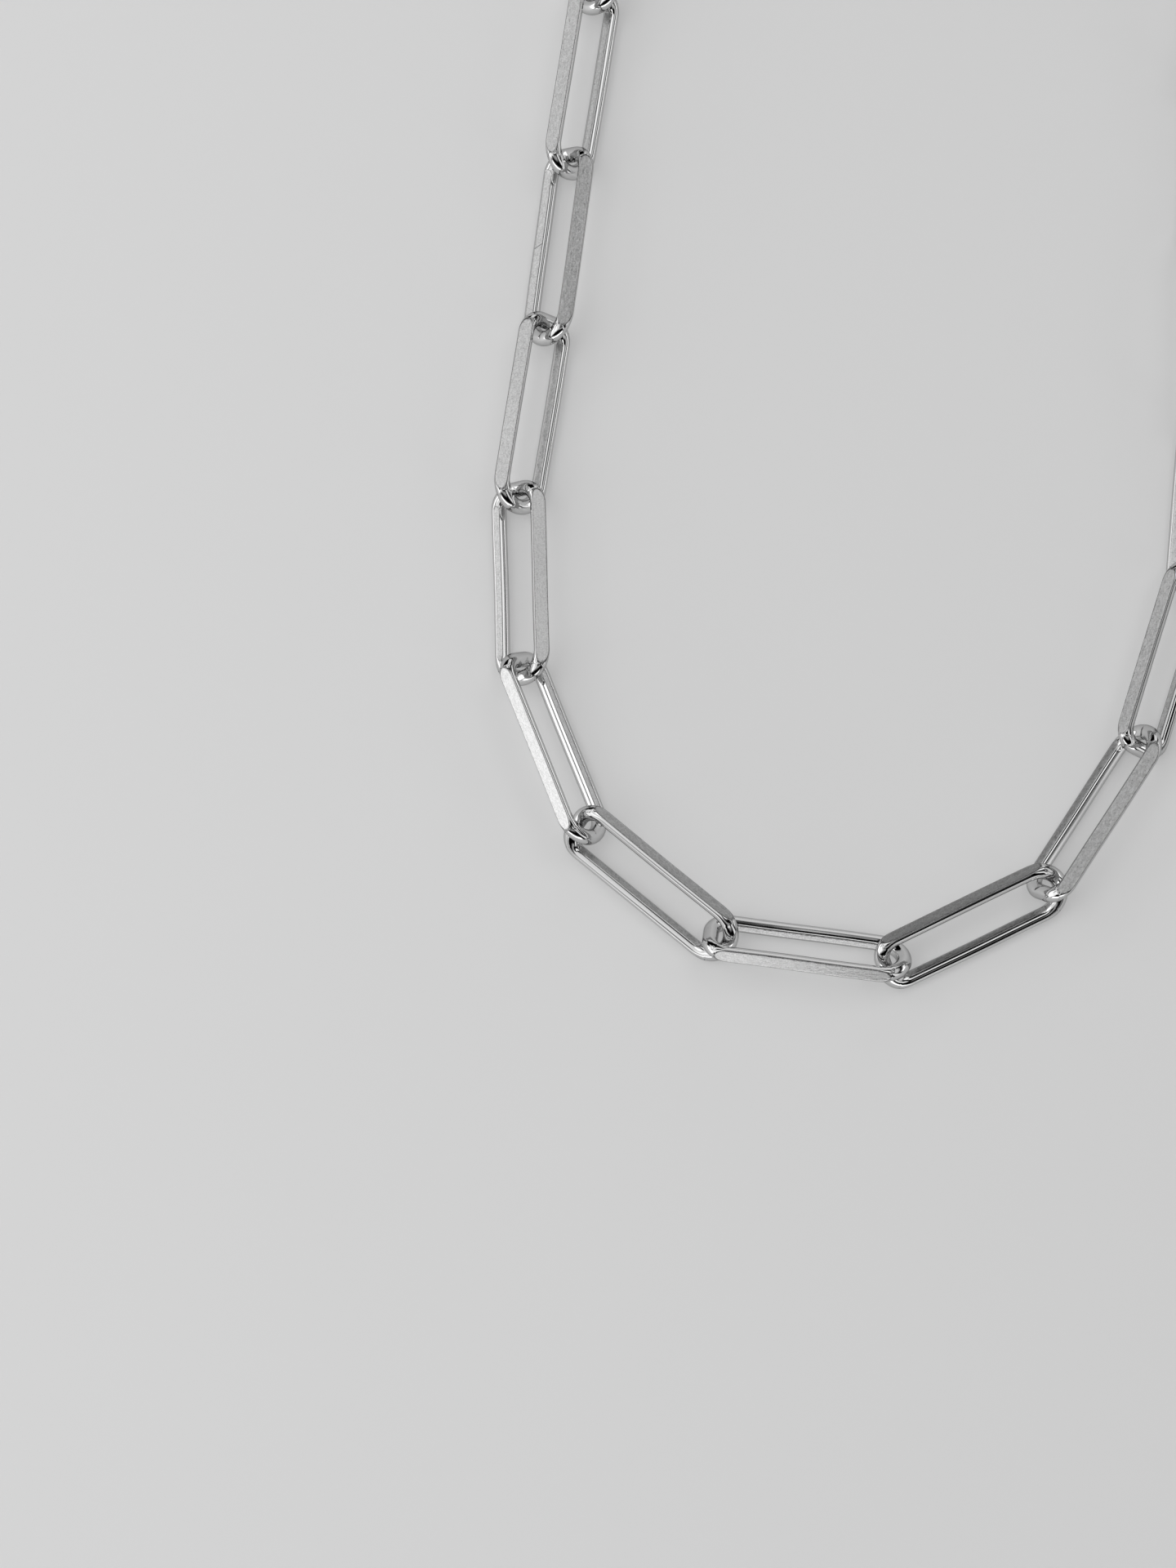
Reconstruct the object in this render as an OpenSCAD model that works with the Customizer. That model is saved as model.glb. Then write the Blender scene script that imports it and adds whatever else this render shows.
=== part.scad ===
// Paperclip chain necklace, lying closed on a flat surface.
// Long wire links hook into each other at their ends, every link leaning the
// other way than its neighbours, and a plain clasp between two jump rings
// closes the loop. Millimetres, +Z up, the surface at z = 0.

/* [Link] */
// Length of a link over its two ends
link_l = 15.3; // [13:0.1:18]
// Width of a link over its two bars, before their outer sides are ground
link_w = 5.05; // [4.9:0.05:6]
// Thickness of the round wire of a link
wire_d = 1.15; // [0.9:0.05:1.2]
// Depth ground off the outer side of each long bar
ground_depth = 0.28; // [0.1:0.02:0.4]
// Bend radius of the squarer end of a link, at the middle of the wire
square_bend_r = 1.4; // [1.1:0.05:1.7]
// Clear space left between two links where they hook together
hook_gap = 0.12; // [0.1:0.02:0.3]

/* [Loop] */
// Number of links in each of the two straight arms of the loop
arm_links = 8; // [6:1:10]
// Angle above the surface at which a piece of the arms leans
arm_lean = 46; // [43:1:49]

/* [Jump rings] */
// Outer diameter of a jump ring
ring_od = 5; // [4.8:0.1:6]
// Thickness of the wire of a jump ring
ring_wire_d = 1; // [0.8:0.05:1.1]
// Clear space left where a jump ring hooks into its neighbours
ring_gap = 0.16; // [0.14:0.02:0.3]

/* [Clasp] */
// Length of the clasp over its body and its eye
clasp_l = 11; // [10:0.5:14]
// Width of the body of the clasp
clasp_w = 5.4; // [5.2:0.1:6.5]
// Thickness of the rounded bars of the clasp
clasp_bar_d = 1.2; // [1:0.05:1.3]
// Outer diameter of the eye that holds the fixed jump ring
eye_od = 4.2; // [4:0.1:4.8]
// Diameter and length of the thumb collar round one bar of the clasp
collar_d = 1.6; // [1.4:0.1:2]

/* [Hidden] */
$fn = 48;
silver = [0.78, 0.78, 0.79];

// The links of the front of the loop, from the left arm round the bottom and
// up the right arm. A row holds the heading of the link in the plan, its lean
// above the surface, and how far it has slipped to its left on its neighbours,
// as a share of the width between its bars.
HEADING = 0;
LEAN = 1;
SLIP = 2;
front_links = [
    [-99, 48, 0],
    [-97.5, 48, 0.02],
    [-99, 46, 0],
    [-88.5, 42, 0],
    [-68.5, 50, 0],
    [-39.5, 44, -0.04],
    [-7.5, 46, 0],
    [26, 42, -0.05],
    [57, 52, 0],
    [72.5, 41, 0],
    [84.5, 50, 0],
    [89, 42, 0],
    [87, 47, 0],
];

// Links in each of the two bends on either side of the closure
bend_links = 2;
front_count = len(front_links);
ring_a = front_count + arm_links + bend_links;
clasp_at = ring_a + 1;
ring_b = ring_a + 2;
piece_count = ring_b + bend_links + arm_links + 1;
closure_count = 3;

// Width between the middles of a link's two bars
bar_gap = link_w - wire_d;
// Distance from a link's long axis to the ground face of a bar, and from the
// middle of the wire to that face and along it to its edge
face_y = link_w / 2 - ground_depth;
face_out = wire_d / 2 - ground_depth;
face_half = sqrt(pow(wire_d / 2, 2) - pow(face_out, 2));
ring_r = (ring_od - ring_wire_d) / 2;
eye_r = (eye_od - clasp_bar_d) / 2;
clasp_bar_gap = clasp_w - clasp_bar_d;

// Kind of a piece, by its place in the loop
function is_ring(i) = i == ring_a || i == ring_b;
function is_clasp(i) = i == clasp_at;
function wire_of(i) = is_ring(i) ? ring_wire_d : is_clasp(i) ? clasp_bar_d : wire_d;
function length_of(i) = is_ring(i) ? ring_od : is_clasp(i) ? clasp_l : link_l;
function width_of(i) = is_ring(i) ? ring_od : is_clasp(i) ? clasp_w : link_w;
function is_link(i) = !is_ring(i) && !is_clasp(i);
function gap_of(i) = is_link(i) ? hook_gap : ring_gap;

// Distance from the middle of a piece to the middle of the wire at its end
function end_of(i) = (length_of(i) - wire_of(i)) / 2;

// Distance from a joint to the middle of the wire that hooks there, which
// grows with the turn so that bent joints stay clear
function hook_of(i, turn) = (wire_of(i) + gap_of(i)) / 2 / cos(turn);

// Far end of the loop: its bends turn by the same step at each joint, and
// its headings are counted from the first arm
function far_turns(i) = max(0, min(i - front_count - arm_links + 1, bend_links + 1))
    + max(0, min(i - ring_b, bend_links + 1));
function far_turn_before(i, step) = i == front_count ? 0
    : step * (far_turns(i) - far_turns(i - 1));
function far_turn_after(i, step) = i == piece_count - 1 ? 0
    : step * (far_turns(i + 1) - far_turns(i));
function far_span(i, step) = 2 * end_of(i) - hook_of(i, far_turn_before(i, step))
    - hook_of(i, far_turn_after(i, step));
function unit(angle) = [cos(angle), sin(angle)];
function total(list) = [for (item = list) 1] * list;
function far_reach(step) = total([
    for (i = [front_count : piece_count - 1]) far_span(i, step) * unit(step * far_turns(i))
]);

// Front of the loop: headings are read from the table
function front_turn_before(i) = i == 0 ? 0
    : front_links[i][HEADING] - front_links[i - 1][HEADING];
function front_turn_after(i) = i == front_count - 1 ? 0
    : front_links[i + 1][HEADING] - front_links[i][HEADING];
function front_span(i) = 2 * end_of(i) - hook_of(i, front_turn_before(i))
    - hook_of(i, front_turn_after(i));
front_reach = total([
    for (i = [0 : front_count - 1]) front_span(i) * unit(front_links[i][HEADING])
]);

// The step of the far bends is halved in on until the far end spans exactly
// the opening that the front leaves
STEP_LOW = 20;
STEP_HIGH = 36;
HALVINGS = 40;
function closing_step(low, high, left) = left == 0 ? (low + high) / 2
    : norm(far_reach((low + high) / 2)) > norm(front_reach)
        ? closing_step((low + high) / 2, high, left - 1)
        : closing_step(low, (low + high) / 2, left - 1);
bend_step = closing_step(STEP_LOW, STEP_HIGH, HALVINGS);
far_chord = far_reach(bend_step);
far_heading = atan2(-front_reach[1], -front_reach[0]) - atan2(far_chord[1], far_chord[0]);

// Where each piece lies
function is_front(i) = i < front_count;
function heading_of(i) = is_front(i) ? front_links[i][HEADING]
    : far_heading + bend_step * far_turns(i);
function span_of(i) = is_front(i) ? front_span(i) : far_span(i, bend_step);
function hook_before(i) = hook_of(i,
    is_front(i) ? front_turn_before(i) : far_turn_before(i, bend_step));
function lean_of(i) = (i % 2 == 0 ? -1 : 1) * (is_front(i) ? front_links[i][LEAN] : arm_lean);
function slip_of(i) = is_front(i) ? front_links[i][SLIP] * bar_gap : 0;

// Depth of the lower bar below its middle: a ground bar rests on the edge of
// its flat, and every other bar on its round side
function depth_below_bar(i) = is_link(i) && 90 - abs(lean_of(i)) < acos(2 * face_out / wire_d)
    ? face_out * abs(sin(lean_of(i))) + face_half * cos(lean_of(i))
    : wire_of(i) / 2;
function rest_height(i) = depth_below_bar(i)
    + (width_of(i) - wire_of(i)) / 2 * abs(sin(lean_of(i)));

joints = [
    for (i = 0, p = [0, 0];
        i < piece_count;
        p = p + span_of(i) * unit(heading_of(i)), i = i + 1) p
];
function middle_of(i) = joints[i] + (end_of(i) - hook_before(i)) * unit(heading_of(i))
    + slip_of(i) * unit(heading_of(i) + 90);

// Reach of a piece from its middle towards a direction in the plan, used to
// bring the middle of the whole loop to the origin
function piece_reach(i, angle) =
    let (along = cos(angle - heading_of(i)))
    let (across = sin(angle - heading_of(i)) * cos(lean_of(i)))
    let (slope = norm([along, across]))
    let (side = (width_of(i) - wire_of(i)) / 2)
    let (r = along > 0 || !is_link(i) ? side : square_bend_r)
    abs(along) * (end_of(i) - r) + abs(across) * (side - r) + slope * r + wire_of(i) / 2;
function loop_reach(angle) = max([
    for (i = [0 : piece_count - 1]) middle_of(i) * unit(angle) + piece_reach(i, angle)
]);
loop_middle = [
    (loop_reach(0) - loop_reach(180)) / 2,
    (loop_reach(90) - loop_reach(270)) / 2,
];

// Names of the nodes, links counted round the loop
function two_digits(n) = str(n < 10 ? "0" : "", n);
function link_number(i) = i < ring_a ? i + 1 : i + 1 - closure_count;
function node_name(i) = i == ring_a ? "jump_ring_a"
    : i == ring_b ? "jump_ring_b"
    : is_clasp(i) ? "clasp"
    : str("link_", two_digits(link_number(i)));

// Puts a piece, drawn flat about its middle and pointing along +X, in its place
module lay_in_loop(i) {
    place = middle_of(i) - loop_middle;
    translate([place[0], place[1], rest_height(i)])
        rotate([lean_of(i), 0, heading_of(i)])
            children();
}

// Straight round bar along X between two places
module bar(from_x, to_x, y, d) {
    translate([from_x, y, 0])
        rotate([0, 90, 0])
            cylinder(d = d, h = to_x - from_x);
}

// Part of a round ring in the XY plane, from one angle over a sweep
module bend(centre, r, d, from_angle, sweep) {
    translate([centre[0], centre[1], 0])
        rotate([0, 0, from_angle])
            rotate_extrude(angle = sweep)
                translate([r, 0])
                    circle(d = d);
}

// Round wire bent to a long link, round at +X and squarer at -X
module link_wire() {
    end_x = (link_l - wire_d) / 2;
    bar_y = bar_gap / 2;
    round_x = end_x - bar_y;
    square_x = end_x - square_bend_r;
    corner_y = bar_y - square_bend_r;
    bar(-square_x, round_x, bar_y, wire_d);
    bar(-square_x, round_x, -bar_y, wire_d);
    bend([round_x, 0], bar_y, wire_d, -90, 180);
    bend([-square_x, corner_y], square_bend_r, wire_d, 90, 90);
    bend([-square_x, -corner_y], square_bend_r, wire_d, 180, 90);
    translate([-end_x, -corner_y, 0])
        rotate([-90, 0, 0])
            cylinder(d = wire_d, h = 2 * corner_y);
}

// One link: the bent wire with the outer sides of its two bars ground flat
module paperclip_link(i) {
    color(silver)
        lay_in_loop(i)
            intersection() {
                link_wire();
                cube([2 * link_l, 2 * face_y, 2 * wire_d], center = true);
            }
}

// One closed jump ring of round wire
module jump_ring(i) {
    color(silver)
        lay_in_loop(i)
            rotate_extrude()
                translate([ring_r, 0])
                    circle(d = ring_wire_d);
}

// Plain closed clasp: an oval body, an eye at its back and a thumb collar on
// the bar that leans upwards
module clasp_body(i) {
    end_x = (clasp_l - clasp_bar_d) / 2;
    bar_y = clasp_bar_gap / 2;
    eye_x = -end_x + eye_r;
    body_x = eye_x + eye_r + bar_y;
    front_x = end_x - bar_y;
    collar_x = (body_x + front_x - collar_d) / 2;
    collar_y = lean_of(i) > 0 ? bar_y : -bar_y;
    color(silver)
        lay_in_loop(i)
            union() {
                bar(body_x, front_x, bar_y, clasp_bar_d);
                bar(body_x, front_x, -bar_y, clasp_bar_d);
                bend([front_x, 0], bar_y, clasp_bar_d, -90, 180);
                bend([body_x, 0], bar_y, clasp_bar_d, 90, 180);
                bend([eye_x, 0], eye_r, clasp_bar_d, 0, 360);
                bar(collar_x, collar_x + collar_d, collar_y, collar_d);
            }
}

module piece(i) {
    if (is_ring(i)) {
        jump_ring(i);
    } else if (is_clasp(i)) {
        clasp_body(i);
    } else {
        paperclip_link(i);
    }
}

for (i = [0 : piece_count - 1])
    piece(i);
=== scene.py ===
"""Closed silver paperclip necklace, lying on a pale table."""
import math
import random

import bmesh
import bpy
import numpy as np
from mathutils import Matrix, Vector


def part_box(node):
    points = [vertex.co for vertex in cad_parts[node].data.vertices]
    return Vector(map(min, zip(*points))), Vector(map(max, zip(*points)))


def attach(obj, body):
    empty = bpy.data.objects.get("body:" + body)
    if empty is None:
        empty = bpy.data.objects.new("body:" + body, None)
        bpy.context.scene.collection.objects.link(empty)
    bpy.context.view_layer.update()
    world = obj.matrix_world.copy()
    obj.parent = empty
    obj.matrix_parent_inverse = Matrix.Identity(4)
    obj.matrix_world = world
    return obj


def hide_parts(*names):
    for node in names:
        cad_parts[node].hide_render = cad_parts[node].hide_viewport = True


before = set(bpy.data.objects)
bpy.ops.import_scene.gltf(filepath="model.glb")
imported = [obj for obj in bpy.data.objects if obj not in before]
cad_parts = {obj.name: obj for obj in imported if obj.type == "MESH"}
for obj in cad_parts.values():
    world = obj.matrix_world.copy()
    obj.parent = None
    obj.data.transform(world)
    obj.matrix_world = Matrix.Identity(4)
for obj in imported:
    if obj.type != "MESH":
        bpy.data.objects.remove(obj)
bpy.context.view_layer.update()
MM = 0.001

# Links. Each is one length of 1.15 mm round sterling wire, bent to a long loop
# with a rounder and a squarer end, soldered shut in one long bar and polished.
# Then a flat belt grinds both long bars, which leaves a satin face on each.
SILVER = (0.60, 0.60, 0.60)
POLISH_ROUGHNESS = (0.05, 0.12)
SATIN_ROUGHNESS = (0.26, 0.42)
# Darkest and brightest grain of the satin, and the dark tone of the seam's tarnish and of the
# painted shade along the flats' edges, as shares of silver
SATIN_TONES = (0.72, 1.05)
TARNISH_AND_EDGE_SHADE = 0.38
# Colour of the shine where the wire turns away
EDGE_TINT = (0.55, 0.55, 0.55, 1.0)
# Patches per metre: belt marks along, across and up, even grain, handling
BELT_MARKS = (2600.0, 7500.0, 7500.0)
EVEN_GRAIN = 9500.0
HANDLING = 420.0
SATIN_STRENGTH = 0.8
SATIN_DEPTH = 0.02 * MM
# The seam's dark line fades between these distances from its middle, in mm
SEAM_FADE = (0.03, 0.06)
FAR_FROM_SEAM = 9.0


def add_node(tree, kind, x, y, **inputs):
    """Adds a node at a place in the tree and fills its inputs by name."""
    node = tree.nodes.new(kind)
    node.location = (x, y)
    for name, value in inputs.items():
        node.inputs[name.replace("_", " ")].default_value = value
    return node


def stretch(tree, source, low, high, to_low, to_high, x, y):
    """Maps a value from one range to another."""
    node = add_node(
        tree, "ShaderNodeMapRange", x, y,
        From_Min=low, From_Max=high, To_Min=to_low, To_Max=to_high)
    tree.links.new(source, node.inputs["Value"])
    return node.outputs["Result"]


def cloud(tree, where, scale, detail, x, y):
    """Even noise over the coordinates, about 0.3 to 0.7."""
    node = add_node(
        tree, "ShaderNodeTexNoise", x, y, Scale=scale, Detail=detail, Roughness=0.6)
    tree.links.new(where, node.inputs["Vector"])
    return node.outputs["Fac"]


def scaled(tree, where, factors, x, y):
    """Coordinates stretched by a factor along each axis."""
    node = tree.nodes.new("ShaderNodeVectorMath")
    node.operation = "MULTIPLY"
    node.location = (x, y)
    tree.links.new(where, node.inputs[0])
    node.inputs[1].default_value = factors
    return node.outputs["Vector"]


def mixed(tree, share, low, high, x, y, kind="FLOAT"):
    """One value or colour turning into another with a share."""
    node = tree.nodes.new("ShaderNodeMix")
    node.data_type = kind
    node.location = (x, y)
    slots = [s for s in node.inputs if s.enabled]
    for slot, value in zip(slots, (share, low, high)):
        if isinstance(value, bpy.types.NodeSocket):
            tree.links.new(value, slot)
        else:
            slot.default_value = value
    return [s for s in node.outputs if s.enabled][0]


def combine(tree, kind, first, second, x, y):
    """Two values, or a value and a number, put through one sum."""
    node = tree.nodes.new("ShaderNodeMath")
    node.operation = kind
    node.location = (x, y)
    for socket, value in zip(node.inputs, (first, second)):
        if isinstance(value, bpy.types.NodeSocket):
            tree.links.new(value, socket)
        else:
            socket.default_value = value
    return node.outputs[0]


def marked(tree, name, y):
    """A value that the mesh carries at its points."""
    node = tree.nodes.new("ShaderNodeAttribute")
    node.attribute_name = name
    node.location = (-1400, y)
    return node.outputs["Fac"]


def link_silver():
    """Bright wire with satin ground faces, told apart by the mesh's own mask."""
    material = bpy.data.materials.new("link_silver")
    material.use_nodes = True
    tree = material.node_tree
    shader = tree.nodes["Principled BSDF"]
    shader.inputs["Metallic"].default_value = 1.0
    shader.inputs["Specular Tint"].default_value = EDGE_TINT
    where = add_node(tree, "ShaderNodeTexCoord", -1400, 0).outputs["Object"]
    ground = marked(tree, "ground", 400)
    # Belt marks run along the bar, grain is even, handling marks are wide
    belt = scaled(tree, where, BELT_MARKS, -1200, 100)
    belt = cloud(tree, belt, 1.0, 2.0, -1000, 100)
    grain = cloud(tree, where, EVEN_GRAIN, 1.0, -1000, -100)
    wide = cloud(tree, where, HANDLING, 3.0, -1000, -300)
    satin = mixed(tree, 0.55, belt, grain, -800, 50)
    rough_satin = stretch(tree, satin, 0.3, 0.7, *SATIN_ROUGHNESS, -600, 100)
    rough_polish = stretch(tree, wide, 0.35, 0.7, *POLISH_ROUGHNESS, -600, -250)
    rough = mixed(tree, ground, rough_polish, rough_satin, -400, 0)
    tree.links.new(rough, shader.inputs["Roughness"])
    dull, bright, dark = (
        tuple(c * share for c in SILVER) + (1.0,) for share in (*SATIN_TONES, TARNISH_AND_EDGE_SHADE))
    grain_share = stretch(tree, satin, 0.38, 0.62, 0.0, 1.0, -600, 400)
    tone_satin = mixed(tree, grain_share, dull, bright, -400, 400, "RGBA")
    silver = mixed(tree, ground, bright, tone_satin, -200, 400, "RGBA")
    # Painted shade: a dark line along the edges of the ground faces and flats, where the wire
    # turns sharply; the seam holds a little tarnish
    outer = stretch(tree, ground, 0.2, 0.5, 0.0, 0.95, -800, 600)
    inner = stretch(tree, ground, 0.98, 0.75, 0.0, 1.0, -800, 500)
    painted_edge_shade = combine(tree, "MULTIPLY", outer, inner, -600, 600)
    off_seam = combine(tree, "ABSOLUTE", marked(tree, "seam", 700), 0.0, -1000, 700)
    hairline = stretch(tree, off_seam, *SEAM_FADE, 1.0, 0.0, -800, 700)
    hairline = combine(tree, "MULTIPLY", hairline, ground, -600, 700)
    seam_tarnish_and_edge_shade = combine(tree, "MAXIMUM", painted_edge_shade, hairline, -400, 650)
    tone = mixed(tree, seam_tarnish_and_edge_shade, silver, dark, 0, 500, "RGBA")
    tree.links.new(tone, shader.inputs["Base Color"])
    bump = add_node(tree, "ShaderNodeBump", -300, -400, Distance=SATIN_DEPTH)
    depth = combine(tree, "MULTIPLY", ground, SATIN_STRENGTH, -600, -500)
    tree.links.new(depth, bump.inputs["Strength"])
    tree.links.new(satin, bump.inputs["Height"])
    tree.links.new(bump.outputs["Normal"], shader.inputs["Normal"])
    return material


LINK_LENGTH = 15.3 * MM
LINK_WIDTH = 5.05 * MM
WIRE = 1.15 * MM
GROUND_DEPTH = 0.28 * MM
SQUARE_BEND = 1.4 * MM
EDGE_SOFTNESS = 0.07 * MM
WIRE_R = WIRE / 2
BAR_Y = (LINK_WIDTH - WIRE) / 2
END_X = (LINK_LENGTH - WIRE) / 2
ROUND_X = END_X - BAR_Y
SQUARE_X = END_X - SQUARE_BEND
CORNER_Y = BAR_Y - SQUARE_BEND
FACE_OUT = WIRE_R - GROUND_DEPTH
# Steps of the mesh along the wire and round it
BAR_STATIONS = 30
ROUND_STATIONS = 44
CORNER_STATIONS = 22
FACE_COLUMNS = 5
EDGE_STEPS = (1.0, 0.6, 0.2, -0.2, -0.6, -1.0)
SIDE_COLUMNS = 9
INNER_SOFTNESS = 0.008 * MM
INNER_SPREAD = (0.5, 0.9, 1.12, 1.35)
# Drawn wire is never dead straight: its sway sideways and upwards
WAVE = 0.012 * MM
SAG = 0.010 * MM
ONE_TURN = 6.28

# Turn of the ground face about its bar in degrees, towards the link's upper
# side, at the squarer and the rounder end of the bar that leans upwards
FACE_TURN = {
    "link_01": (22.0, 23.0),
    "link_02": (40.0, 41.0),
    "link_03": (33.0, 34.0),
    "link_04": (34.0, 35.0),
    "link_05": (2.0, -1.0),
    "link_06": (1.0, 4.0),
    "link_07": (-2.0, 3.0),
    "link_08": (6.0, 5.0),
    "link_09": (42.0, 44.0),
    "link_10": (11.0, 13.0),
}
# The inner side of a bar keeps a narrower flat from the drawing die: its turn
# towards the link's upper side in degrees, and its width, for the lower bars
INNER_FLAT = (0.0, 0.46 * MM)
LOWER_FLATS = {
    "link_01": (12.0, 0.46 * MM),
    "link_02": (67.0, 0.58 * MM),
    "link_03": (23.0, 0.46 * MM),
    "link_04": (68.0, 0.42 * MM),
    "link_05": (59.0, 0.34 * MM),
    "link_06": (16.0, 0.46 * MM),
    "link_08": (8.0, 0.46 * MM),
    "link_09": (78.0, 0.50 * MM),
    "link_11": (50.0, 0.58 * MM),
}
# One seam still shows, as a slanting hairline: link, place along the lower
# bar at the bar's upper side, and the slant for each degree round the bar
SEAM_LINK = "link_02"
SEAM_X = 0.062 * MM
SEAM_SLANT = -0.00726 * MM


def wire_stations():
    """Middle of the wire and its outward direction, once round the link."""
    rows = []

    def arc(cx, cy, r, start, sweep, count):
        for k in range(count):
            a = math.radians(start + sweep * (k + 0.5) / count)
            nx, ny = math.cos(a), math.sin(a)
            rows.append((cx + r * nx, cy + r * ny, nx, ny))

    def run(x0, y0, x1, y1, nx, ny, count):
        for k in range(count):
            t = (k + 0.5) / count
            rows.append((x0 + (x1 - x0) * t, y0 + (y1 - y0) * t, nx, ny))

    run(-SQUARE_X, -BAR_Y, ROUND_X, -BAR_Y, 0, -1, BAR_STATIONS)
    arc(ROUND_X, 0, BAR_Y, -90, 180, ROUND_STATIONS)
    run(ROUND_X, BAR_Y, -SQUARE_X, BAR_Y, 0, 1, BAR_STATIONS)
    arc(-SQUARE_X, CORNER_Y, SQUARE_BEND, 90, 90, CORNER_STATIONS)
    run(-END_X, CORNER_Y, -END_X, -CORNER_Y, -1, 0, 3)
    arc(-SQUARE_X, -CORNER_Y, SQUARE_BEND, 180, 90, CORNER_STATIONS)
    return rows


def eased(share):
    """Soft step from 0 to 1."""
    share = min(max(share, 0.0), 1.0)
    return share * share * (3 - 2 * share)


def rounded_off(beyond):
    """Depth kept of what stands beyond the ground face, with a soft edge."""
    t = np.clip(beyond / EDGE_SOFTNESS, -1, 1)
    soft = -EDGE_SOFTNESS * (1 - t) ** 2 / 4
    return np.where(beyond < -EDGE_SOFTNESS, beyond, soft)


def face_angle(step, in_by, reach, number):
    """Angle from the ground face's middle at which the wire meets the face."""
    meets = (FACE_OUT + step * EDGE_SOFTNESS + in_by) / reach
    widest = math.acos((FACE_OUT + step * EDGE_SOFTNESS) / WIRE_R)
    least = math.radians(5 + 4 * number)
    if meets < math.cos(least):
        return math.acos(meets)
    # Past the tip of the face the columns spread out again
    return least + (widest - least) * eased((meets - math.cos(least)) / 0.35)


def ring_angles(edge, inside):
    """Angles of the mesh round the wire, from the ground face's middle and back."""
    face = [edge[0] * k / (FACE_COLUMNS - 1) for k in range(FACE_COLUMNS)] + edge[1:]
    back = [2 * math.pi - a for a in reversed(face)]
    steps = [(k + 1) / (SIDE_COLUMNS + 1) for k in range(SIDE_COLUMNS)]
    upper = [edge[-1] + (inside[0] - edge[-1]) * t for t in steps]
    lower = [inside[-1] + (back[0] - inside[-1]) * t for t in steps]
    return np.array(face + upper + inside + lower + back[:-1])


def link_mesh(name, turns, flats, seam_side, number):
    """Sweeps the wire round the link and grinds both long bars."""
    dice = random.Random(number)
    sway = [
        (dice.uniform(-1, 1), dice.uniform(0, ONE_TURN), dice.uniform(0.5, 1.1))
        for _ in range(6)]
    points, mask, seam = [], [], []
    for x, y, nx, ny in wire_stations():
        side = 1 if y > 0 else -1
        along = (x + SQUARE_X) / (ROUND_X + SQUARE_X)
        square_turn, round_turn = turns[side]
        turn = math.radians(square_turn + (round_turn - square_turn) * min(max(along, 0), 1))
        # The face lies in one plane, so it turns about a bend as it runs out
        in_by = (BAR_Y - abs(y)) * math.cos(turn)
        reach = WIRE_R * math.hypot(ny * math.cos(turn), math.sin(turn))
        lift = math.atan2(math.sin(turn), max(abs(ny), 0.05) * math.cos(turn))
        lift *= eased((abs(ny) - 0.1) / 0.65)
        edge = [
            face_angle(step, in_by, max(reach, 1e-6), k)
            for k, step in enumerate(EDGE_STEPS)]
        # Columns of the inner flat, opposite the bar's own outer side
        inner_turn = math.radians(flats[side][0])
        flat = math.asin(flats[side][1] / 2 / WIRE_R)
        inner_depth = WIRE_R * (1 - math.cos(flat))
        opposite = math.pi - inner_turn - lift
        inside = [opposite + flat * share for share in INNER_SPREAD]
        inside = [2 * opposite - a for a in reversed(inside)] + [opposite] + inside
        theta = ring_angles(edge, inside) + lift
        out = WIRE_R * np.cos(theta)
        tall = WIRE_R * np.sin(theta)
        # The inner flat runs out where the bends begin
        fade = min(max((abs(ny) - 0.94) / 0.06, 0.0), 1.0)
        deeper = WIRE_R - inner_depth * (1 - 1.3 * (1 - fade))
        inward = tall * math.sin(inner_turn) - out * math.cos(inner_turn)
        past = (inward - deeper) / INNER_SOFTNESS
        soft = np.clip(past, -1, 1)
        filed = np.where(past > -1, deeper - INNER_SOFTNESS * (1 - soft) ** 2 / 4 - inward, 0)
        out = out - filed * math.cos(inner_turn)
        px = x + out * nx
        py = y + out * ny
        pz = tall + filed * math.sin(inner_turn)
        bows = [a * math.sin(p + x / (LINK_LENGTH * f) * ONE_TURN) for a, p, f in sway]
        wave = sum(bows[:3]) * WAVE
        sag = sum(bows[3:]) * SAG
        beyond = (side * py - BAR_Y) * math.cos(turn) + pz * math.sin(turn) - FACE_OUT
        cut = rounded_off(beyond) - beyond
        py = py + side * cut * math.cos(turn)
        pz = pz + cut * math.sin(turn)
        ground = np.clip(beyond / EDGE_SOFTNESS * 0.5 + 0.5, 0, 1)
        ground = np.maximum(ground, np.clip(past * 0.5 + 0.5, 0, 1))
        points.append(np.stack([px, py + side * wave * abs(ny), pz + sag], 1))
        mask.append(ground)
        across = x - SEAM_X - SEAM_SLANT * (np.degrees(theta) - 90)
        seam.append(across / MM if side == seam_side else np.full(len(theta), FAR_FROM_SEAM))
    points = np.array(points)
    rows, columns = points.shape[:2]
    index = np.arange(rows * columns).reshape(rows, columns)
    onward = np.roll(index, -1, 0)
    faces = np.stack([index, onward, np.roll(onward, -1, 1), np.roll(index, -1, 1)], 2)
    mesh = bpy.data.meshes.new(name)
    mesh.from_pydata(points.reshape(-1, 3).tolist(), [], faces.reshape(-1, 4).tolist())
    for mark, values in (("ground", mask), ("seam", seam)):
        attribute = mesh.attributes.new(mark, "FLOAT", "POINT")
        attribute.data.foreach_set("value", np.array(values).ravel())
    mesh.shade_smooth()
    mesh.update()
    return mesh


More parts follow.
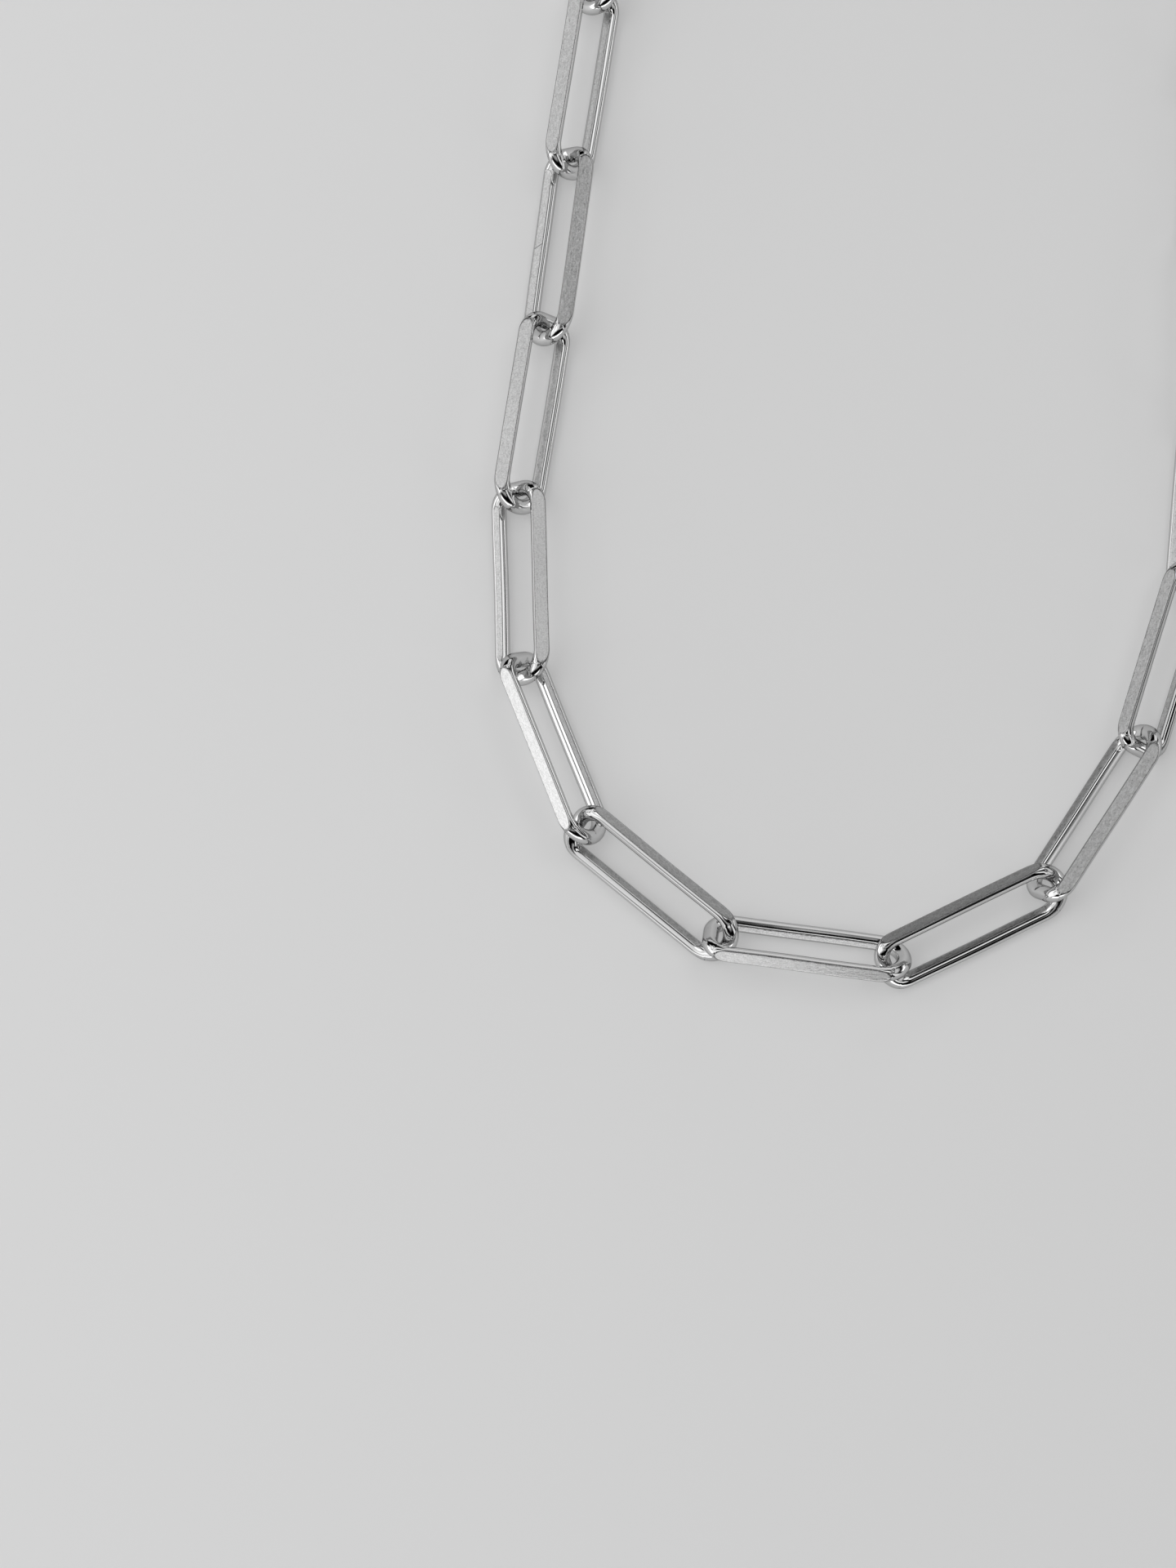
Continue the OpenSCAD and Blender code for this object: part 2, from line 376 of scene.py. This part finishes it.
def lie_of(node):
    """Place of a flat piece: +X its long way, +Z its upper side."""
    mesh = node.data
    mesh.calc_loop_triangles()
    corners = np.empty(len(mesh.vertices) * 3)
    mesh.vertices.foreach_get("co", corners)
    corners = corners.reshape(-1, 3)
    triangles = np.empty(len(mesh.loop_triangles) * 3, int)
    mesh.loop_triangles.foreach_get("vertices", triangles)
    a, b, c = (corners[triangles[k::3]] for k in range(3))
    area = np.linalg.norm(np.cross(b - a, c - a), axis=1) / 2
    middle = (a + b + c) / 3
    centre = (middle * area[:, None]).sum(0) / area.sum()
    spread = (((middle - centre) * area[:, None]).T @ (middle - centre)) / area.sum()
    axes = np.linalg.eigh(spread)[1]
    long_way, up = axes[:, 2], axes[:, 0]
    if up[2] < 0:
        up = -up
    across = np.cross(up, long_way)
    u = (corners - centre) @ long_way
    v = (corners - centre) @ across
    half = (u.max() - u.min()) / 2
    u_middle = (u.max() + u.min()) / 2
    # The squarer end is the wider one close to its tip
    near = 0.06 * half
    if np.ptp(v[u > u.max() - near]) > np.ptp(v[u < u.min() + near]):
        long_way, across, u_middle = -long_way, -across, -u_middle
    place = centre + long_way * u_middle
    matrix = Matrix(np.stack([long_way, across, up], 1).tolist()).to_4x4()
    matrix.translation = Vector(place.tolist())
    return matrix


LINK_SILVER = link_silver()
links = sorted(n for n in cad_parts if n.startswith("link_"))
for number, name in enumerate(links, 1):
    lie = lie_of(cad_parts[name])
    up_side = 1 if lie.col[1].z > 0 else -1
    turns = {up_side: FACE_TURN.get(name, (0.0, 0.0)), -up_side: (0.0, 0.0)}
    flats = {up_side: INNER_FLAT, -up_side: LOWER_FLATS.get(name, INNER_FLAT)}
    seam_side = -up_side if name == SEAM_LINK else 0
    loop = link_mesh(name + "_wire", turns, flats, seam_side, number)
    wire = bpy.data.objects.new(name + "_wire", loop)
    bpy.context.scene.collection.objects.link(wire)
    wire.data.materials.append(LINK_SILVER)
    wire.matrix_world = lie
    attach(wire, "root")
    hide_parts(name)

# Jump rings. Plain 1 mm silver wire coiled, sawn, closed and soldered, one at
# each side of the clasp; the solder seam stays as a slight dip in the wire.
RING_R = 2.0 * MM
RING_WIRE_R = 0.5 * MM
RING_STATIONS = 132
RING_COLUMNS = 30
SEAM_DIP = 0.03 * MM
SEAM_WIDTH = 0.09 * MM
FINDING_SILVER = (0.60, 0.60, 0.60, 1.0)
FINDING_ROUGHNESS = (0.06, 0.17)
HAZE_TONE = 0.94
# Patches per metre: handling haze, and wheel marks along, across and up
HAZE = 700.0
WHEEL_MARKS = (900.0, 9000.0, 3000.0)
WHEEL_STRENGTH = 0.12
WHEEL_DEPTH = 0.003 * MM
# This share of the stations is spread evenly, the rest crowds at the seam
EVEN_SHARE = 0.12


def finding_silver():
    """Plain polished silver with faint wheel marks and handling haze."""
    material = bpy.data.materials.new("finding_silver")
    material.use_nodes = True
    tree = material.node_tree
    shader = tree.nodes["Principled BSDF"]
    shader.inputs["Metallic"].default_value = 1.0
    shader.inputs["Specular Tint"].default_value = EDGE_TINT
    where = add_node(tree, "ShaderNodeTexCoord", -1200, 0).outputs["Object"]
    haze = cloud(tree, where, HAZE, 4.0, -1000, 0)
    streaks = scaled(tree, where, WHEEL_MARKS, -1200, -300)
    wheel = cloud(tree, streaks, 1.0, 3.0, -1000, -300)
    rough = stretch(tree, haze, 0.35, 0.7, *FINDING_ROUGHNESS, -700, 0)
    tree.links.new(rough, shader.inputs["Roughness"])
    dull = tuple(c * HAZE_TONE for c in FINDING_SILVER[:3]) + (1.0,)
    share = stretch(tree, haze, 0.3, 0.7, 0.0, 1.0, -700, 300)
    tone = mixed(tree, share, dull, FINDING_SILVER, -400, 300, "RGBA")
    tree.links.new(tone, shader.inputs["Base Color"])
    bump = add_node(
        tree, "ShaderNodeBump", -400, -300, Strength=WHEEL_STRENGTH, Distance=WHEEL_DEPTH)
    tree.links.new(wheel, bump.inputs["Height"])
    tree.links.new(bump.outputs["Normal"], shader.inputs["Normal"])
    return material


def tube_mesh(name, stations, radii, columns):
    """Round wire swept round a closed path of (x, y, outward x, outward y)."""
    theta = np.arange(columns) * 2 * math.pi / columns
    points = []
    for (x, y, nx, ny), r in zip(stations, radii):
        out = r * np.cos(theta)
        points.append(np.stack([x + out * nx, y + out * ny, r * np.sin(theta)], 1))
    rows = len(stations)
    index = np.arange(rows * columns).reshape(rows, columns)
    onward = np.roll(index, -1, 0)
    faces = np.stack([index, onward, np.roll(onward, -1, 1), np.roll(index, -1, 1)], 2)
    corners = np.array(points).reshape(-1, 3).tolist()
    mesh = bpy.data.meshes.new(name)
    mesh.from_pydata(corners, [], faces.reshape(-1, 4).tolist())
    mesh.shade_smooth()
    return mesh


def ring_lie(node, towards):
    """Place of a ring, its +X turned in its plane towards another piece."""
    lie = lie_of(node)
    up = lie.col[2].to_3d()
    low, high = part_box(towards)
    away = (Vector(low) + Vector(high)) / 2 - lie.translation
    x = (away - up * away.dot(up)).normalized()
    turned = Matrix((x, up.cross(x), up)).transposed().to_4x4()
    turned.translation = lie.translation
    return turned


FINDING = finding_silver()
for name, seam_at in (("jump_ring_a", 74.0), ("jump_ring_b", 118.0)):
    stations, radii = [], []
    for k in range(RING_STATIONS):
        t = (k + 0.5) / RING_STATIONS * 2 - 1
        from_seam = math.pi * (EVEN_SHARE * t + (1 - EVEN_SHARE) * t ** 3)
        a = math.radians(seam_at) + from_seam
        nx, ny = math.cos(a), math.sin(a)
        stations.append((RING_R * nx, RING_R * ny, nx, ny))
        off = RING_R * from_seam
        radii.append(RING_WIRE_R - SEAM_DIP * math.exp(-(off / SEAM_WIDTH) ** 2))
    ring_wire = tube_mesh(name + "_wire", stations, radii, RING_COLUMNS)
    ring = bpy.data.objects.new(name + "_wire", ring_wire)
    bpy.context.scene.collection.objects.link(ring)
    ring.data.materials.append(FINDING)
    ring.matrix_world = ring_lie(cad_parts[name], "clasp")
    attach(ring, "root")
    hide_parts(name)

# Clasp. One plain cast silver piece: an oval body, an eye soldered to its back
# end, and a thumb collar on its upper bar, all with small solder fillets.
CLASP_LENGTH = 11.0 * MM
CLASP_WIDTH = 5.4 * MM
CLASP_BAR = 1.2 * MM
EYE_WIDTH = 4.2 * MM
COLLAR = 1.6 * MM
COLLAR_EDGE = 0.22 * MM
# Steps of the mesh on the collar's edge, round the collar and round the bar
EDGE_ARC = 8
COLLAR_COLUMNS = 48
BAR_COLUMNS = 40
CLASP_VOXEL = 0.06 * MM
CLASP_BAR_R = CLASP_BAR / 2
CLASP_BAR_Y = (CLASP_WIDTH - CLASP_BAR) / 2
CLASP_END_X = (CLASP_LENGTH - CLASP_BAR) / 2
EYE_R = (EYE_WIDTH - CLASP_BAR) / 2
EYE_X = -CLASP_END_X + EYE_R
BODY_X = EYE_X + EYE_R + CLASP_BAR_Y
FRONT_X = CLASP_END_X - CLASP_BAR_Y
COLLAR_X = (BODY_X + FRONT_X) / 2


def round_stations(cx, cy, r, start, sweep, count):
    """Stations along part of a circle."""
    angles = [math.radians(start + sweep * (k + 0.5) / count) for k in range(count)]
    return [
        (cx + r * math.cos(a), cy + r * math.sin(a), math.cos(a), math.sin(a))
        for a in angles]


def straight_stations(x0, x1, y, ny, count):
    """Stations along a straight bar."""
    return [(x0 + (x1 - x0) * (k + 0.5) / count, y, 0, ny) for k in range(count)]


def collar_mesh(y):
    """Turned collar with rounded edges round the bar at y."""
    edge = []
    for k in range(EDGE_ARC + 1):
        a = math.radians(90 * k / EDGE_ARC)
        edge.append((
            COLLAR / 2 - COLLAR_EDGE * (1 - math.cos(a)),
            COLLAR / 2 - COLLAR_EDGE + COLLAR_EDGE * math.sin(a)))
    profile = [(-x, r) for x, r in edge] + edge[::-1]
    columns = COLLAR_COLUMNS
    points = [(COLLAR_X - COLLAR / 2, y, 0.0)]
    for x, r in profile:
        for k in range(columns):
            a = 2 * math.pi * k / columns
            points.append((COLLAR_X + x, y + r * math.cos(a), r * math.sin(a)))
    points.append((COLLAR_X + COLLAR / 2, y, 0.0))
    faces = [(0, 1 + (k + 1) % columns, 1 + k) for k in range(columns)]
    for row in range(len(profile) - 1):
        a, b = 1 + row * columns, 1 + (row + 1) * columns
        for k in range(columns):
            after = (k + 1) % columns
            faces.append((a + k, a + after, b + after, b + k))
    last, start = len(points) - 1, 1 + (len(profile) - 1) * columns
    faces += [(last, start + k, start + (k + 1) % columns) for k in range(columns)]
    mesh = bpy.data.meshes.new("clasp_collar")
    mesh.from_pydata(points, [], faces)
    return mesh


def clasp_lie(node):
    """Place of the clasp: +X away from the ring in its eye, +Z its upper side."""
    lie = lie_of(node)
    low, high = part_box("jump_ring_a")
    to_ring = (Vector(low) + Vector(high)) / 2 - lie.translation
    if lie.col[0].to_3d().dot(to_ring) > 0:
        lie = lie @ Matrix.Rotation(math.pi, 4, "Z")
    return lie


clasp_place = clasp_lie(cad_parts["clasp"])
upper_side = 1 if clasp_place.col[1].z > 0 else -1
body_path = (
    straight_stations(BODY_X, FRONT_X, -CLASP_BAR_Y, -1, 14)
    + round_stations(FRONT_X, 0, CLASP_BAR_Y, -90, 180, 60)
    + straight_stations(FRONT_X, BODY_X, CLASP_BAR_Y, 1, 14)
    + round_stations(BODY_X, 0, CLASP_BAR_Y, 90, 180, 60))
eye_path = round_stations(EYE_X, 0, EYE_R, 0, 360, 96)
solid = bmesh.new()
for name, path in (("clasp_body", body_path), ("clasp_eye", eye_path)):
    solid.from_mesh(tube_mesh(name, path, [CLASP_BAR_R] * len(path), BAR_COLUMNS))
solid.from_mesh(collar_mesh(upper_side * CLASP_BAR_Y))
clasp_raw = bpy.data.meshes.new("clasp_raw")
solid.to_mesh(clasp_raw)
solid.free()
rough_clasp = bpy.data.objects.new("rough_clasp", clasp_raw)
bpy.context.scene.collection.objects.link(rough_clasp)
fused = rough_clasp.modifiers.new("fused", "REMESH")
fused.mode = "VOXEL"
fused.voxel_size = CLASP_VOXEL
filed = rough_clasp.modifiers.new("filed", "SMOOTH")
filed.factor = 0.5
filed.iterations = 5
made = rough_clasp.evaluated_get(bpy.context.evaluated_depsgraph_get())
clasp_mesh = bpy.data.meshes.new_from_object(made)
bpy.data.objects.remove(rough_clasp)
clasp_mesh.shade_smooth()
clasp = bpy.data.objects.new("clasp_cast", clasp_mesh)
bpy.context.scene.collection.objects.link(clasp)
clasp_mesh.materials.clear()
clasp_mesh.materials.append(FINDING)
clasp.matrix_world = clasp_place
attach(clasp, "root")
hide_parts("clasp")

# Table. A pale, faintly glossy painted board that fills the picture. It glows
# a little, which keeps the shadows as weak as they are in a bright room.
BOARD_HALF = 1.6
BOARD_DROP = 0.02 * MM
BOARD_ROUGHNESS = 0.45
BOARD_GLOW = 0.235
# Painted light: the board's colour pales very slightly towards the windows, between two places
# on X, standing in for the light falling off across the table
BOARD_GREYS = (0.54, 0.63)
PAINTED_LIGHT_SPAN = (-0.075, 0.02)
corners = [(x * BOARD_HALF, y * BOARD_HALF, 0) for x, y in ((-1, -1), (1, -1), (1, 1), (-1, 1))]
table_mesh = bpy.data.meshes.new("table")
table_mesh.from_pydata(corners, [], [(0, 1, 2, 3)])
table = bpy.data.objects.new("table", table_mesh)
table.location.z = -BOARD_DROP
bpy.context.scene.collection.objects.link(table)
board = bpy.data.materials.new("pale_board")
board.use_nodes = True
board_tree = board.node_tree
board_shader = board_tree.nodes["Principled BSDF"]
over = add_node(board_tree, "ShaderNodeTexCoord", -900, 0).outputs["Object"]
across_board = add_node(board_tree, "ShaderNodeSeparateXYZ", -700, 0)
board_tree.links.new(over, across_board.inputs[0])
painted_light_share = stretch(board_tree, across_board.outputs["X"], *PAINTED_LIGHT_SPAN, 1.0, 0.0, -500, 0)
greys = [(grey, grey, grey, 1.0) for grey in BOARD_GREYS]
board_tone = mixed(board_tree, painted_light_share, *greys, -300, 0, "RGBA")
board_tree.links.new(board_tone, board_shader.inputs["Base Color"])
board_shader.inputs["Roughness"].default_value = BOARD_ROUGHNESS
board_shader.inputs["Emission Color"].default_value = (1.0, 1.0, 1.0, 1.0)
board_shader.inputs["Emission Strength"].default_value = BOARD_GLOW
table.data.materials.append(board)

# Light. A soft daylit room of pale windows and walls, brightest to the left,
# dark straight above the table.
world = bpy.data.worlds.new("soft_room")
bpy.context.scene.world = world
world.use_nodes = True
room = world.node_tree
background = room.nodes["Background"]
background.inputs["Color"].default_value = (1.0, 1.0, 1.0, 1.0)
look = add_node(room, "ShaderNodeTexCoord", -2000, 0).outputs["Generated"]
level = room.nodes.new("ShaderNodeVectorMath")
level.operation = "MULTIPLY"
level.location = (-1800, -200)
level.inputs[1].default_value = (1.0, 1.0, 0.0)
room.links.new(look, level.inputs[0])
compass = room.nodes.new("ShaderNodeVectorMath")
compass.operation = "NORMALIZE"
compass.location = (-1600, -200)
room.links.new(level.outputs["Vector"], compass.inputs[0])
apart = room.nodes.new("ShaderNodeSeparateXYZ")
apart.location = (-1600, 200)
room.links.new(look, apart.inputs[0])
# Half of the soft edge of a window, in degrees
SIDE_FADE = 7
TOP_FADE = 5


def fade(source, start, end, to, x, y):
    """Soft rise from nothing at the start to a strength at the end."""
    node = add_node(
        room, "ShaderNodeMapRange", x, y, From_Min=start, From_Max=end, To_Max=to)
    node.interpolation_type = "SMOOTHSTEP"
    room.links.new(source, node.inputs["Value"])
    return node.outputs["Result"]


def window(azimuth, half, low, high, strength, y):
    """Soft-edged window, azimuth 0 at +X and 90 at +Y, low and high in elevation."""
    a = math.radians(azimuth)
    dot = room.nodes.new("ShaderNodeVectorMath")
    dot.operation = "DOT_PRODUCT"
    dot.location = (-1400, y)
    room.links.new(compass.outputs["Vector"], dot.inputs[0])
    dot.inputs[1].default_value = (math.cos(a), math.sin(a), 0.0)
    outer = math.cos(math.radians(half + SIDE_FADE))
    inner = math.cos(math.radians(max(half - SIDE_FADE, 0)))
    sides = fade(dot.outputs["Value"], outer, inner, strength, -1200, y)
    height = apart.outputs["Z"]

    def rise(angle):
        return math.sin(math.radians(min(angle, 90)))

    foot = fade(height, rise(low - TOP_FADE), rise(low + TOP_FADE), 1.0, -1200, y - 120)
    head = fade(height, rise(high + TOP_FADE), rise(high - TOP_FADE), 1.0, -1200, y - 240)
    tall = combine(room, "MULTIPLY", foot, head, -1000, y - 180)
    return combine(room, "MULTIPLY", tall, sides, -850, y)


# Azimuth, half width, lowest and highest elevation in degrees, strength
WINDOWS = (
    (20, 22, -9, 9, 2.10),
    (18, 29, 23, 39, 0.80),
    (46, 31, 46, 70, 1.40),
    (73, 12, 1, 30, 1.00),
    (113, 31, 31, 42, 1.20),
    (186, 27, -9, 17, 2.05),
    (201, 21, 14, 39, 1.35),
    (191, 44, 36, 80, 1.00),
    (263, 38, -18, 12, 2.45),
    (266, 38, 41, 54, 0.45),
    (331, 6, -3, 54, 1.15),
    (148, 46, 54, 84, 0.90),
    (325, 70, 71, 81, 1.65),
    (154, 17, 17, 38, 1.05),
)
total = window(*WINDOWS[0], 0)
for k, values in enumerate(WINDOWS[1:], 1):
    total = combine(room, "ADD", total, window(*values, -400 * k), -700 + 60 * k, -400 * k)
room.links.new(total, background.inputs["Strength"])

# Camera. It stands above the front of the chain, a little towards its near
# side, and looks down through a long lens.
CAMERA_AT = (-27.29 * MM, -154.43 * MM, 412.93 * MM)
CAMERA_LEAN = 10
LENS = 131.25
camera = bpy.data.objects.new("camera", bpy.data.cameras.new("camera"))
bpy.context.scene.collection.objects.link(camera)
bpy.context.scene.camera = camera
camera.location = CAMERA_AT
camera.rotation_euler = (math.radians(CAMERA_LEAN), 0, 0)
camera.data.lens = LENS
camera.data.clip_start = 0.05
camera.data.clip_end = 20

settings = bpy.context.scene.view_settings
settings.view_transform = "Standard"
settings.look = "None"
